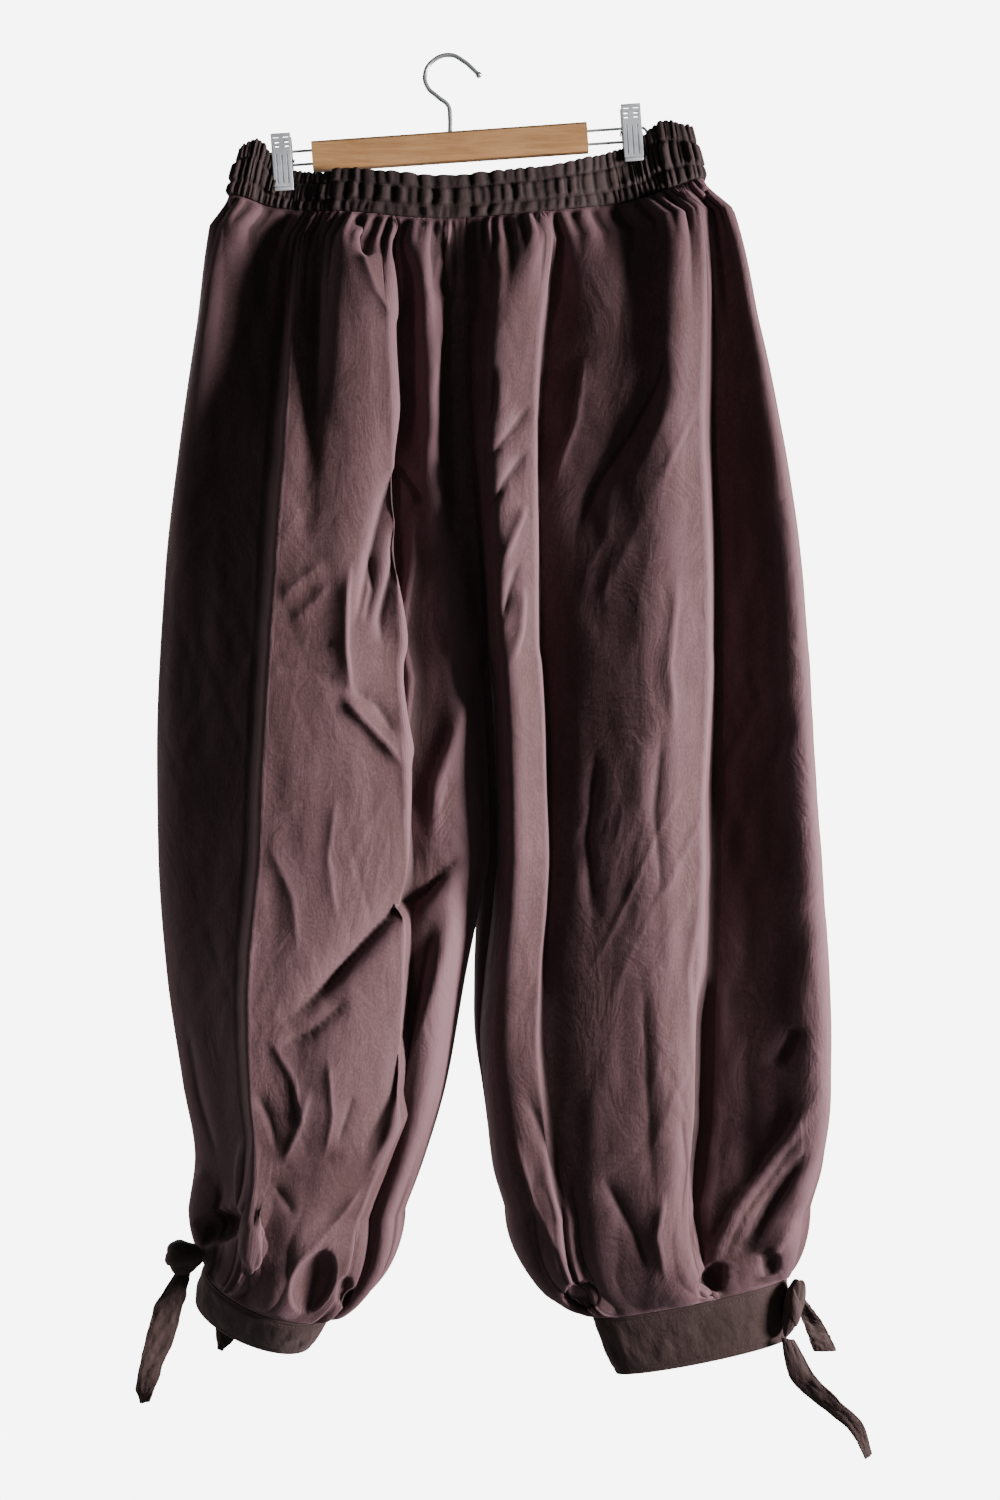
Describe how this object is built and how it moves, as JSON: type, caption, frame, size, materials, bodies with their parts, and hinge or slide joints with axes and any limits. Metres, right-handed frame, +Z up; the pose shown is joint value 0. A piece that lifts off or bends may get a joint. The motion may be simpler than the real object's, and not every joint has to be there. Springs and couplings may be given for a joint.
{
  "type": "balloon pants on a clip hanger",
  "caption": "Dark plum balloon pants with a ruched elastic waistband and tied cuffs, hanging from the clips of a wooden hanger.",
  "frame": {"origin": "the underside of the hook's crown, where a rail or peg carries the hanger", "axes": "+Z up, front of the trousers towards -Y, +X to the right seen from the front"},
  "size_m": [0.593, 0.1041, 1.1435],
  "materials": {
    "cloth": "sand-washed matt",
    "cuff_cloth": "sand-washed matt",
    "beech": "clear satin lacquer",
    "steel_wire": "polished",
    "clip_plate": "pressed satin metal"
  },
  "bodies": {
    "root": {"waistband_front": "cloth", "waistband_back": "cloth", "front_left": "cloth", "front_right": "cloth", "back_left": "cloth", "back_right": "cloth", "cuff_left": "cuff_cloth", "cuff_right": "cuff_cloth", "knot_left": "cuff_cloth", "knot_right": "cuff_cloth", "tie_left_long": "cuff_cloth", "tie_left_short": "cuff_cloth", "tie_right_long": "cuff_cloth", "tie_right_short": "cuff_cloth", "hanger_bar": "beech", "hanger_hook": "steel_wire", "clip_wire_left": "steel_wire", "clip_wire_right": "steel_wire", "clip_spring_left": "steel_wire", "clip_spring_right": "steel_wire", "clip_front_left": "clip_plate", "clip_back_left": "clip_plate", "clip_front_right": "clip_plate", "clip_back_right": "clip_plate"}
  },
  "joints": []
}
